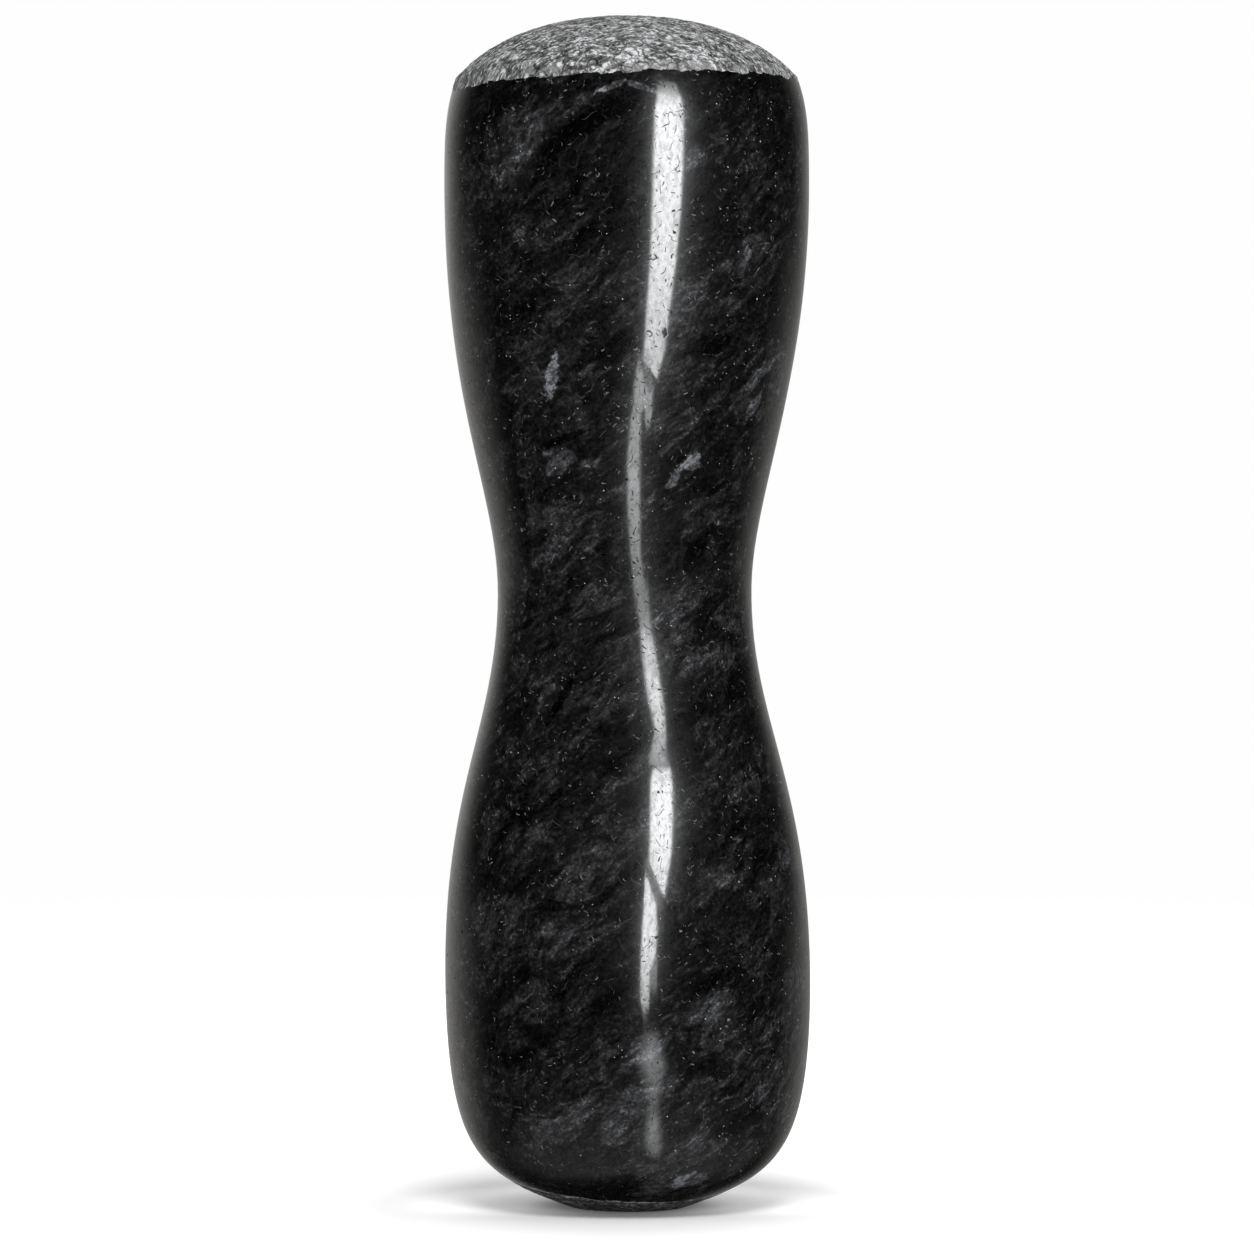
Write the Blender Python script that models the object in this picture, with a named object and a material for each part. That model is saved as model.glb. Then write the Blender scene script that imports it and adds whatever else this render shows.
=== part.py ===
"""Double-ended stone pestle, turned from one block of black stone.

Units are metres and +Z points up. The origin is the centre of the flat that the
pestle stands on. The stone is one rigid piece. It is modelled as three zones that
meet face to face where its finish changes: a polished grip with a waist for the
hand, and an end above and below it that is pecked rough for grinding.
"""

import math

import bmesh
import bpy
from mathutils import Vector
from mathutils.geometry import interpolate_bezier

# Radii of the outline
FOOT_RADIUS = 0.008
LOWER_BELLY_RADIUS = 0.025
WAIST_RADIUS = 0.0174
UPPER_BELLY_RADIUS = 0.025
SHOULDER_RADIUS = 0.0234

# Heights of the outline's stretches, from the foot up
BOWL_HEIGHT = 0.032
LOWER_FLARE_HEIGHT = 0.052
UPPER_FLARE_HEIGHT = 0.056
SHOULDER_HEIGHT = 0.0144
CROWN_HEIGHT = 0.0084

# Heights above the foot between which the grip is polished
LOWER_POLISH_HEIGHT = 0.003
UPPER_POLISH_HEIGHT = 0.153

# Directions of the outline at its three corners, all measured from the vertical
FOOT_LEAN = math.radians(70)
SHOULDER_LEAN = math.radians(20)
CROWN_LEAN = math.radians(42)

# How far each curve holds its direction, as a share of the stretch that it rounds
FOOT_HOLD = 0.78
BOWL_HOLD = 0.78
LOWER_BELLY_HOLD = 0.50
WAIST_HOLD_BELOW = 0.34
WAIST_HOLD_ABOVE = 0.24
UPPER_BELLY_HOLD_BELOW = 0.52
UPPER_BELLY_HOLD_ABOVE = 0.47
SHOULDER_HOLD = 0.30
CROWN_EDGE_HOLD = 0.26
CROWN_TOP_HOLD = 0.53

# Colours and roughness of the zones
POLISHED_BLACK = (0.012, 0.012, 0.014)
PECKED_CROWN_GREY = (0.22, 0.22, 0.225)
PECKED_FOOT_GREY = (0.27, 0.27, 0.26)
POLISHED_ROUGHNESS = 0.12
PECKED_ROUGHNESS = 0.85

# Fineness of the turned surface
TURN_STEPS = 64
CURVE_POINTS = 12
SHARP_ANGLE = math.radians(30)
MERGE_DISTANCE = 1e-6

UP = Vector((0.0, 0.0, 1.0))
OUTWARD = Vector((1.0, 0.0, 0.0))


def clear_scene():
    """Remove every object that the scene starts with."""
    for obj in list(bpy.data.objects):
        bpy.data.objects.remove(obj, do_unlink=True)


def knot(radius, height):
    """A point of the outline, in the plane that is turned."""
    return Vector((radius, 0.0, height))


def leaning(angle):
    """Direction that rises and leans inward, by an angle from the vertical."""
    return Vector((-math.sin(angle), 0.0, math.cos(angle)))


def curve(start, start_handle, end_handle, end):
    """Points along one smooth stretch, its end left to the next stretch."""
    return interpolate_bezier(start, start_handle, end_handle, end, CURVE_POINTS)[:-1]


def stone_outline():
    """Outline of the whole stone at +X, from the middle of its crown to the edge of its foot."""
    lower_belly_height = BOWL_HEIGHT
    waist_height = lower_belly_height + LOWER_FLARE_HEIGHT
    upper_belly_height = waist_height + UPPER_FLARE_HEIGHT
    shoulder_height = upper_belly_height + SHOULDER_HEIGHT

    crown = knot(0.0, shoulder_height + CROWN_HEIGHT)
    shoulder = knot(SHOULDER_RADIUS, shoulder_height)
    upper_belly = knot(UPPER_BELLY_RADIUS, upper_belly_height)
    waist = knot(WAIST_RADIUS, waist_height)
    lower_belly = knot(LOWER_BELLY_RADIUS, lower_belly_height)
    foot = knot(FOOT_RADIUS, 0.0)

    crown_points = curve(
        crown,
        crown + OUTWARD * SHOULDER_RADIUS * CROWN_TOP_HOLD,
        shoulder + leaning(CROWN_LEAN) * SHOULDER_RADIUS * CROWN_EDGE_HOLD,
        shoulder,
    )
    shoulder_points = curve(
        shoulder,
        shoulder - leaning(SHOULDER_LEAN) * SHOULDER_HEIGHT * SHOULDER_HOLD,
        upper_belly + UP * SHOULDER_HEIGHT * UPPER_BELLY_HOLD_ABOVE,
        upper_belly,
    )
    upper_flare_points = curve(
        upper_belly,
        upper_belly - UP * UPPER_FLARE_HEIGHT * UPPER_BELLY_HOLD_BELOW,
        waist + UP * UPPER_FLARE_HEIGHT * WAIST_HOLD_ABOVE,
        waist,
    )
    lower_flare_points = curve(
        waist,
        waist - UP * LOWER_FLARE_HEIGHT * WAIST_HOLD_BELOW,
        lower_belly + UP * LOWER_FLARE_HEIGHT * LOWER_BELLY_HOLD,
        lower_belly,
    )
    bowl_points = curve(
        lower_belly,
        lower_belly - UP * BOWL_HEIGHT * BOWL_HOLD,
        foot + leaning(-FOOT_LEAN) * (LOWER_BELLY_RADIUS - FOOT_RADIUS) * FOOT_HOLD,
        foot,
    )
    points = crown_points + shoulder_points + upper_flare_points + lower_flare_points + bowl_points
    return points + [foot]


def outline_at(outline, height):
    """Point where the outline crosses a height, or the foot's edge if it is above none."""
    for upper, lower in zip(outline, outline[1:]):
        if upper.z >= height > lower.z:
            share = (upper.z - height) / (upper.z - lower.z)
            return knot(upper.x + share * (lower.x - upper.x), height)
    return outline[-1].copy()


def zone_profile(outline, top, bottom):
    """Profile of the zone between two heights: axis, outline, axis.

    The crown's outline starts on the axis itself, so there the first two points merge.
    """
    between = [point for point in outline if bottom < point.z < top]
    rim = [outline_at(outline, top)] + between + [outline_at(outline, bottom)]
    return [knot(0.0, top)] + rim + [knot(0.0, bottom)]


def turned_mesh(name, profile):
    """Closed body that the profile sweeps out in one turn about the Z axis."""
    mesh = bpy.data.meshes.new(name)
    body = bmesh.new()
    corners = [body.verts.new(point) for point in profile]
    edges = [body.edges.new(pair) for pair in zip(corners, corners[1:])]
    bmesh.ops.spin(
        body,
        geom=corners + edges,
        axis=UP,
        cent=(0.0, 0.0, 0.0),
        angle=math.tau,
        steps=TURN_STEPS,
        use_merge=True,
    )
    bmesh.ops.remove_doubles(body, verts=body.verts, dist=MERGE_DISTANCE)
    bmesh.ops.recalc_face_normals(body, faces=body.faces)
    body.to_mesh(mesh)
    body.free()
    mesh.shade_smooth()
    mesh.set_sharp_from_angle(angle=SHARP_ANGLE)
    return mesh


def stone_finish(name, colour, roughness):
    """Material of one zone of the stone."""
    material = bpy.data.materials.new(name)
    material.use_nodes = True
    shader = material.node_tree.nodes["Principled BSDF"]
    shader.inputs["Base Color"].default_value = (*colour, 1.0)
    shader.inputs["Roughness"].default_value = roughness
    shader.inputs["Metallic"].default_value = 0.0
    material.diffuse_color = (*colour, 1.0)
    material.roughness = roughness
    return material


def add_zone(name, profile, finish, stone):
    """One zone of the stone as an object under the stone's empty."""
    mesh = turned_mesh(name, profile)
    mesh.materials.append(finish)
    zone = bpy.data.objects.new(name, mesh)
    bpy.context.scene.collection.objects.link(zone)
    zone.parent = stone
    return zone


def build_pestle():
    """Build the three zones of the stone, from the foot up."""
    outline = stone_outline()
    crown_height = outline[0].z

    stone = bpy.data.objects.new("pestle", None)
    bpy.context.scene.collection.objects.link(stone)

    add_zone(
        "lower_grinding_end",
        zone_profile(outline, LOWER_POLISH_HEIGHT, 0.0),
        stone_finish("pecked_stone_foot", PECKED_FOOT_GREY, PECKED_ROUGHNESS),
        stone,
    )
    add_zone(
        "polished_grip",
        zone_profile(outline, UPPER_POLISH_HEIGHT, LOWER_POLISH_HEIGHT),
        stone_finish("polished_black_stone", POLISHED_BLACK, POLISHED_ROUGHNESS),
        stone,
    )
    add_zone(
        "upper_grinding_end",
        zone_profile(outline, crown_height, UPPER_POLISH_HEIGHT),
        stone_finish("pecked_stone_crown", PECKED_CROWN_GREY, PECKED_ROUGHNESS),
        stone,
    )


clear_scene()
build_pestle()
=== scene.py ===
"""Looks of a double-ended stone pestle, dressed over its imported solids.

The stone is one turned block. Its surface is made in three zones that share their
edges point for point: a polished black grip with grey clouds and pale patches, and a
pecked grey end above and below it. Units are metres and +Z points up. The finishes'
patterns are given in millimetres.
"""

import logging
import math
from dataclasses import dataclass, field, replace
from enum import Enum

import bmesh
import bpy
from bpy.types import Material, Mesh, NodeOutputs, NodeSocket as Socket, NodeTree, Object
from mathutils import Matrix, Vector
from mathutils.geometry import interpolate_bezier


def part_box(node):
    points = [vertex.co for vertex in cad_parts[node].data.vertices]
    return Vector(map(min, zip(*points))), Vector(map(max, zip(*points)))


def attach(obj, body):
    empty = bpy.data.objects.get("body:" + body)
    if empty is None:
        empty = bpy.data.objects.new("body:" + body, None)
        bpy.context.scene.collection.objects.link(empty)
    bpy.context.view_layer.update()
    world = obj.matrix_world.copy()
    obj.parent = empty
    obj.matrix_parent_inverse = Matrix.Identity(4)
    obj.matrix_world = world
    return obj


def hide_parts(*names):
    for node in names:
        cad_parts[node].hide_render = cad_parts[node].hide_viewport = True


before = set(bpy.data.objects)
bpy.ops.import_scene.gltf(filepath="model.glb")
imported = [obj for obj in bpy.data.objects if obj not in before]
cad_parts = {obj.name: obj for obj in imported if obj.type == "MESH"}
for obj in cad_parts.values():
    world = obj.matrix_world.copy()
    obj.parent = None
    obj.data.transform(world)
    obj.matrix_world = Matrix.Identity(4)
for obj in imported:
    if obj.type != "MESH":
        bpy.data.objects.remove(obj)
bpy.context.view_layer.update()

MILLIMETRE = 0.001
TO_MILLIMETRES = 1.0 / MILLIMETRE
DEGREES = 180.0 / math.pi
LOG = logging.getLogger("pestle")

Value = float | tuple[float, ...] | Socket | Material | None
Inputs = dict[str, int | float | Material]
Triple = tuple[float, float, float]
Colour = Triple

MIDDLE = (0.5, 0.5, 0.5)
WHITE = (1.0, 1.0, 1.0, 1.0)

# Sockets of the node that mixes colours, which holds more of the same names for other kinds
MIX_UNDER, MIX_OVER, MIX_RESULT = 6, 7, 2

SOCKET_KINDS = {int: "NodeSocketInt", float: "NodeSocketFloat", Material: "NodeSocketMaterial"}


class Node(Enum):
    """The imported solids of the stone, by name."""

    CROWN = "upper_grinding_end"
    GRIP = "polished_grip"
    FOOT = "lower_grinding_end"


class Slot(Enum):
    """The record's material slots."""

    CROWN = "pecked_stone_crown"
    GRIP = "polished_stone"
    FOOT = "pecked_stone_foot"


class Wiring:
    """Adds nodes to one node tree and joins them.

    A value given to a socket is a number, a tuple, a material or another node's output.
    """

    def __init__(self, tree: NodeTree) -> None:
        """Keep the tree that the nodes go into."""
        self.tree = tree

    def node(self, kind: str, *values: Value, output: int | str = 0, **settings: object) -> Socket:
        """Add a node and fill its sockets in order.

        Args:
            kind: The node's type.
            values: What goes into its first sockets; None leaves a socket as it is.
            output: Which of its outputs to give back, by place or by name.
            settings: Properties of the node, such as its operation.

        Returns:
            The chosen output socket.
        """
        made = self.made(kind, {}, **settings)
        for socket, value in zip(made.inputs, values):
            self.feed(socket, value)
        return made.outputs[output]

    def made(self, kind: str, values: dict[str, Value], **settings: object) -> bpy.types.Node:
        """Add a node and fill its sockets by name.

        Args:
            kind: The node's type.
            values: What goes into its sockets.
            settings: Properties of the node, such as its mode.

        Returns:
            The node.
        """
        made = self.tree.nodes.new(kind)
        for name, setting in settings.items():
            setattr(made, name, setting)
        self.fill(made, values)
        return made

    def fill(self, node: bpy.types.Node, values: dict[str, Value]) -> None:
        """Put values into a node's sockets by name."""
        for name, value in values.items():
            self.feed(node.inputs[name], value)

    def feed(self, socket: Socket, value: Value) -> None:
        """Put a value or another node's output into a socket.

        Args:
            socket: The input socket.
            value: What goes into it; None leaves it as it is.
        """
        if isinstance(value, Socket):
            self.tree.links.new(value, socket)
        elif value is not None:
            socket.default_value = value

    def math(self, operation: str, *values: Value) -> Socket:
        """Give the result of a sum on numbers, such as COSINE."""
        return self.node("ShaderNodeMath", *values, operation=operation)

    def folded(self, operation: str, values: tuple[Value, ...]) -> Socket:
        """Give one sum carried on over several numbers."""
        total = values[0]
        for value in values[1:]:
            total = self.math(operation, total, value)
        return total

    def add(self, *values: Value) -> Socket:
        """Give two or more numbers added up."""
        return self.folded("ADD", values)

    def times(self, *values: Value) -> Socket:
        """Give the product of two or more numbers."""
        return self.folded("MULTIPLY", values)

    def most(self, *values: Value) -> Socket:
        """Give the greatest of two or more numbers."""
        return self.folded("MAXIMUM", values)

    def rest(self, share: Value) -> Socket:
        """Give what a share leaves of one."""
        return self.math("SUBTRACT", 1.0, share)

    def vector_math(self, operation: str, *values: Value) -> Socket:
        """Give the result of a sum on vectors, such as ADD."""
        return self.node("ShaderNodeVectorMath", *values, operation=operation)

    def length(self, vector: Value) -> Socket:
        """Give a vector's length."""
        return self.node("ShaderNodeVectorMath", vector, operation="LENGTH", output="Value")

    def scaled(self, vector: Value, factor: Value) -> Socket:
        """Give a vector times a number."""
        made = self.made("ShaderNodeVectorMath", {"Vector": vector, "Scale": factor}, operation="SCALE")
        return made.outputs["Vector"]

    def vector(self, x: Value, y: Value, z: Value) -> Socket:
        """Give a vector of three numbers."""
        return self.node("ShaderNodeCombineXYZ", x, y, z)

    def parts(self, vector: Value) -> list[Socket]:
        """Give a vector's three numbers."""
        made = self.made("ShaderNodeSeparateXYZ", {"Vector": vector})
        return list(made.outputs)

    def laid(self, vector: Value, start: Value, turn: Value, stretch: Value) -> Socket:
        """Give a place as seen in a frame that is moved, turned and stretched."""
        return self.node("ShaderNodeMapping", vector, start, turn, stretch, vector_type="TEXTURE")

    def attribute(self, name: str) -> Socket:
        """Give a number that the mesh keeps under a name."""
        return self.node("ShaderNodeAttribute", output="Fac", attribute_name=name)

    def place(self) -> Socket:
        """Give the place in the object, in metres."""
        return self.node("ShaderNodeTexCoord", output="Object")

    def ramp(self, value: Value, low: Value, high: Value, start: Value = 0.0,
             end: Value = 1.0) -> Socket:
        """Give a smooth step of a number, from start where it is low to end where it is high."""
        return self.node("ShaderNodeMapRange", value, low, high, start, end,
                         interpolation_type="SMOOTHSTEP")

    def noise(self, vector: Value, size: float, detail: float, roughness: float, warp: float = 0.0,
              colour: bool = False) -> Socket:
        """Give soft noise of a certain size.

        Args:
            vector: Where to read it.
            size: Size of its blotches, in the vector's unit.
            detail: How many finer layers it has.
            roughness: How strong the finer layers are.
            warp: How much it is bent by itself.
            colour: Whether to give three unlike values in place of one.

        Returns:
            The noise, about 0 to 1.
        """
        made = self.made("ShaderNodeTexNoise", {
            "Vector": vector, "Scale": 1.0 / size, "Detail": detail, "Roughness": roughness,
            "Distortion": warp}, noise_dimensions="3D")
        return made.outputs["Color" if colour else "Fac"]

    def swing(self, vector: Value, size: float, detail: float, roughness: float,
              warp: float = 0.0) -> Socket:
        """Give soft noise that swings about nought, by up to a half each way."""
        return self.add(self.noise(vector, size, detail, roughness, warp), -0.5)

    def cells(self, vector: Value, size: float, feature: str = "F1") -> bpy.types.Node:
        """Give the node of a pattern of cells of a size, whose Distance is in cells."""
        return self.made("ShaderNodeTexVoronoi", {"Vector": vector, "Scale": 1.0 / size}, feature=feature)

    def warped(self, vector: Value, size: float, reach: float) -> Socket:
        """Give a vector pushed about by noise of a size, as far as its reach each way."""
        push = self.vector_math("SUBTRACT", self.noise(vector, size, 1.0, 0.5, colour=True), MIDDLE)
        return self.vector_math("ADD", vector, self.scaled(push, 2.0 * reach))

    def blend(self, factor: Value, under: Value, over: Value) -> Socket:
        """Give one colour laid over another.

        Args:
            factor: How much of the upper colour shows.
            under: The lower colour.
            over: The upper colour.

        Returns:
            The blended colour.
        """
        made = self.made("ShaderNodeMix", {}, data_type="RGBA")
        self.feed(made.inputs[0], factor)
        for socket, colour in ((MIX_UNDER, under), (MIX_OVER, over)):
            self.feed(made.inputs[socket], colour if isinstance(colour, Socket) else (*colour, 1.0))
        return made.outputs[MIX_RESULT]


def placed(name: str, data: bpy.types.ID) -> Object:
    """Make an object of its data and put it in the scene."""
    made = bpy.data.objects.new(name, data)
    bpy.context.scene.collection.objects.link(made)
    return made


def started_material(name: str) -> tuple[Material, Wiring, bpy.types.Node]:
    """Start a material, and give it, the wiring of its nodes and its surface shader."""
    material = bpy.data.materials.new(name)
    material.use_nodes = True
    return material, Wiring(material.node_tree), material.node_tree.nodes["Principled BSDF"]


@dataclass(frozen=True)
class Outline:
    """Outline of the whole stone, from the middle of its crown down to the middle of its foot.

    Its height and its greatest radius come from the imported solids. A lean is measured from the
    vertical, and a hold says how far a curve keeps its direction, as a share of its stretch.
    """

    crown_height: float
    belly_radius: float
    shoulder_height: float = 0.1544
    shoulder_radius: float = 0.0234
    upper_belly_height: float = 0.140
    waist_height: float = 0.084
    waist_radius: float = 0.0174
    lower_belly_height: float = 0.032
    foot_radius: float = 0.008
    crown_lean: float = math.radians(42)
    shoulder_lean: float = math.radians(20)
    foot_lean: float = math.radians(70)
    crown_top_hold: float = 0.53
    crown_edge_hold: float = 0.26
    shoulder_hold: float = 0.30
    upper_belly_holds: tuple[float, float] = (0.47, 0.52)
    waist_holds: tuple[float, float] = (0.24, 0.34)
    lower_belly_holds: tuple[float, float] = (0.50, 0.78)
    foot_hold: float = 0.78
    smoothness: int = 160

    def knots(self) -> list[tuple[Vector, Vector, Vector]]:
        """Give the outline's knots.

        Returns:
            Each knot's point, the handle before it and the handle after it.
        """
        crown = Vector((0, 0, self.crown_height))
        shoulder = Vector((self.shoulder_radius, 0, self.shoulder_height))
        upper_belly = Vector((self.belly_radius, 0, self.upper_belly_height))
        waist = Vector((self.waist_radius, 0, self.waist_height))
        lower_belly = Vector((self.belly_radius, 0, self.lower_belly_height))
        foot = Vector((self.foot_radius, 0, 0))
        middle = Vector((0, 0, 0))
        corners = (shoulder, upper_belly, waist, lower_belly, foot)
        drop = [upper.z - lower.z for upper, lower in zip(corners, corners[1:])]
        out, up = Vector((1, 0, 0)), Vector((0, 0, 1))
        crown_edge = self.inward(self.crown_lean) * self.crown_edge_hold * shoulder.x
        shoulder_edge = self.inward(self.shoulder_lean) * self.shoulder_hold * drop[0]
        foot_edge = self.inward(-self.foot_lean) * self.foot_hold * (lower_belly.x - foot.x)
        return [
            (crown, crown, crown + out * self.crown_top_hold * shoulder.x),
            (shoulder, shoulder + crown_edge, shoulder - shoulder_edge),
            self.belly(upper_belly, up, self.upper_belly_holds, drop[0], drop[1]),
            self.belly(waist, up, self.waist_holds, drop[1], drop[2]),
            self.belly(lower_belly, up, self.lower_belly_holds, drop[2], drop[3]),
            (foot, foot + foot_edge, foot),
            (middle, middle, middle),
        ]

    @staticmethod
    def belly(point: Vector, up: Vector, holds: tuple[float, float], above: float,
              below: float) -> tuple[Vector, Vector, Vector]:
        """Give a knot where the outline stands upright: its point and the handles above and below."""
        return point, point + up * holds[0] * above, point - up * holds[1] * below

    @staticmethod
    def inward(lean: float) -> Vector:
        """Give the direction that rises and leans inward by an angle from the vertical."""
        return Vector((-math.sin(lean), 0, math.cos(lean)))

    def object(self) -> Object:
        """Make the outline as a curve object that is never rendered.

        Returns:
            The curve object.
        """
        curve = bpy.data.curves.new("stone_outline", "CURVE")
        curve.dimensions = "3D"
        curve.resolution_u = self.smoothness
        spline = curve.splines.new("BEZIER")
        knots = self.knots()
        spline.bezier_points.add(len(knots) - 1)
        for point, (place, before, after) in zip(spline.bezier_points, knots):
            point.handle_left_type = point.handle_right_type = "FREE"
            point.co, point.handle_left, point.handle_right = place, before, after
        return placed("stone_outline", curve)

    def length_to(self, height: float) -> float:
        """Give how far along the outline a height is reached, from the crown.

        Args:
            height: The height above the foot.

        Returns:
            The length, in metres.
        """
        knots = self.knots()
        length = 0.0
        for (start, _, after), (end, before, _) in zip(knots, knots[1:]):
            points = interpolate_bezier(start, after, before, end, self.smoothness + 1)
            for upper, lower in zip(points, points[1:]):
                if upper.z >= height > lower.z:
                    return length + (upper.z - height) / (upper.z - lower.z) * (lower - upper).length
                length += (lower - upper).length
        return length

    def whole_length(self) -> float:
        """Give the outline's whole length, to the middle of the foot."""
        return self.length_to(-math.inf)


@dataclass(frozen=True)
class FinishLine:
    """Edge between two finishes, which goes once round the stone and wanders a little."""

    length: float = 0.0
    tilt: float = 0.0
    tilt_towards: float = 0.0
    raggedness: float = 0.0


@dataclass(frozen=True)
class Relief:
    """Heights of a pecked surface's relief about its outline, in metres."""

    hollows: float = 0.0
    strokes: float = 0.0
    chips: float = 0.0
    fade: float = 0.0004


@dataclass(frozen=True)
class Inclusion:
    """Pale patch or black lens in the front of the stone, in millimetres from the middle of its foot.

    A black lens has a negative strength. Each is an ellipsoid forward of the axis, and its lean
    is in degrees.
    """

    across: float
    up: float
    length: float
    width: float
    lean: float
    strength: float
    softness: float = 0.22
    forward: float = 20.0
    half_depth: float = 14.0

    def mask(self, w: Wiring, place: Value, fray: Value) -> Socket:
        """Give how strongly the patch shows at a place.

        Args:
            w: The material's wiring.
            place: Place in the stone, in millimetres.
            fray: Noise that frays the patch's edge.

        Returns:
            The patch's strength there.
        """
        centre = (self.across, -self.forward, self.up)
        size = (self.length / 2, self.half_depth, self.width / 2)
        away = w.add(w.length(w.laid(place, centre, (0, -math.radians(self.lean), 0), size)), fray)
        return w.ramp(away, 1.0 + self.softness, 1.0 - self.softness, 0.0, self.strength)


# Across, up, length, width, lean, strength and, where it isn't the usual one, softness
INCLUSIONS = tuple(Inclusion(*row) for row in (
    (-1.9, 151.0, 4.2, 0.9, 21, 2.1),
    (1.7, 151.0, 4.4, 0.9, -20, 2.1),
    (-1.0, 148.4, 7.0, 3.6, 15, -1.4),
    (-12.0, 144.7, 21.0, 5.6, 39, 1.7, 0.35),
    (-8.0, 144.3, 14.0, 2.8, 36, -1.6),
    (-15.5, 150.0, 14.0, 3.6, 36, -1.2, 0.4),
    (-12.0, 132.2, 9.0, 5.5, 12, 1.0, 0.5),
    (6.0, 147.0, 12.0, 3.0, -22, 0.9, 0.8),
    (8.9, 141.6, 3.6, 1.9, 62, 2.3),
    (17.4, 130.0, 5.4, 3.6, 35, 1.1, 0.4),
    (11.0, 116.9, 7.0, 2.6, 20, -1.7),
    (18.1, 113.5, 8.0, 1.5, 46, 1.4),
    (17.0, 109.0, 5.0, 1.1, 58, 1.3),
    (-9.9, 112.8, 5.8, 1.6, 82, 2.7),
    (-8.5, 104.4, 6.0, 1.1, 20, -1.8),
    (-9.0, 101.4, 4.6, 3.6, 20, 2.1),
    (-5.2, 101.2, 3.2, 1.1, 10, 1.5),
    (8.8, 101.4, 3.4, 1.8, 45, 2.8),
    (6.4, 99.2, 2.8, 1.5, 50, 2.2),
    (-10.9, 89.5, 6.0, 2.8, 40, 1.4),
    (7.6, 82.4, 10.5, 6.4, 35, 1.3, 0.7),
    (-14.0, 79.4, 5.0, 0.9, 32, -1.8),
    (-9.0, 69.2, 9.0, 1.1, 60, -1.8),
    (9.7, 28.5, 8.0, 4.4, 30, 1.3, 0.5),
    (3.7, 22.0, 8.0, 3.6, 62, 1.2, 0.6),
    (0.4, 13.8, 40.0, 15.0, 18, 0.6, 0.8),
    (8.4, 5.2, 5.0, 2.0, 14, 2.2),
))


@dataclass(frozen=True)
class Arcs:
    """Short curved marks, each a slice of a thin shell through one cell's middle, in millimetres.

    The spacing is the size of the cells, and the rarity is the share of them that have no mark.
    """

    spacing: float
    reach: float
    bow: float
    half_width: float
    rarity: float
    shift: Triple = (0.0, 0.0, 0.0)

    def mask(self, w: Wiring, place: Value) -> Socket:
        """Give how strongly the marks show at a place.

        Args:
            w: The material's wiring.
            place: Place in the stone, in millimetres.

        Returns:
            The marks' strength there.
        """
        moved = w.vector_math("ADD", w.warped(w.warped(place, 1.6, 0.45), 0.5, 0.12), self.shift)
        cells = w.cells(moved, self.spacing)
        colour = cells.outputs["Color"]
        local = w.vector_math("SUBTRACT", moved, cells.outputs["Position"])
        lean = w.vector_math("NORMALIZE", w.vector_math("SUBTRACT", colour, MIDDLE))
        off = w.vector_math("SUBTRACT", local, w.scaled(lean, self.bow))
        shell = w.math("ABSOLUTE", w.add(w.length(off), -self.bow))
        return w.times(w.ramp(shell, self.half_width, self.half_width * 0.35),
                       w.ramp(w.length(local), self.reach, self.reach * 0.6),
                       w.ramp(w.parts(colour)[2], self.rarity, 0.5 * (1.0 + self.rarity)))


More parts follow.
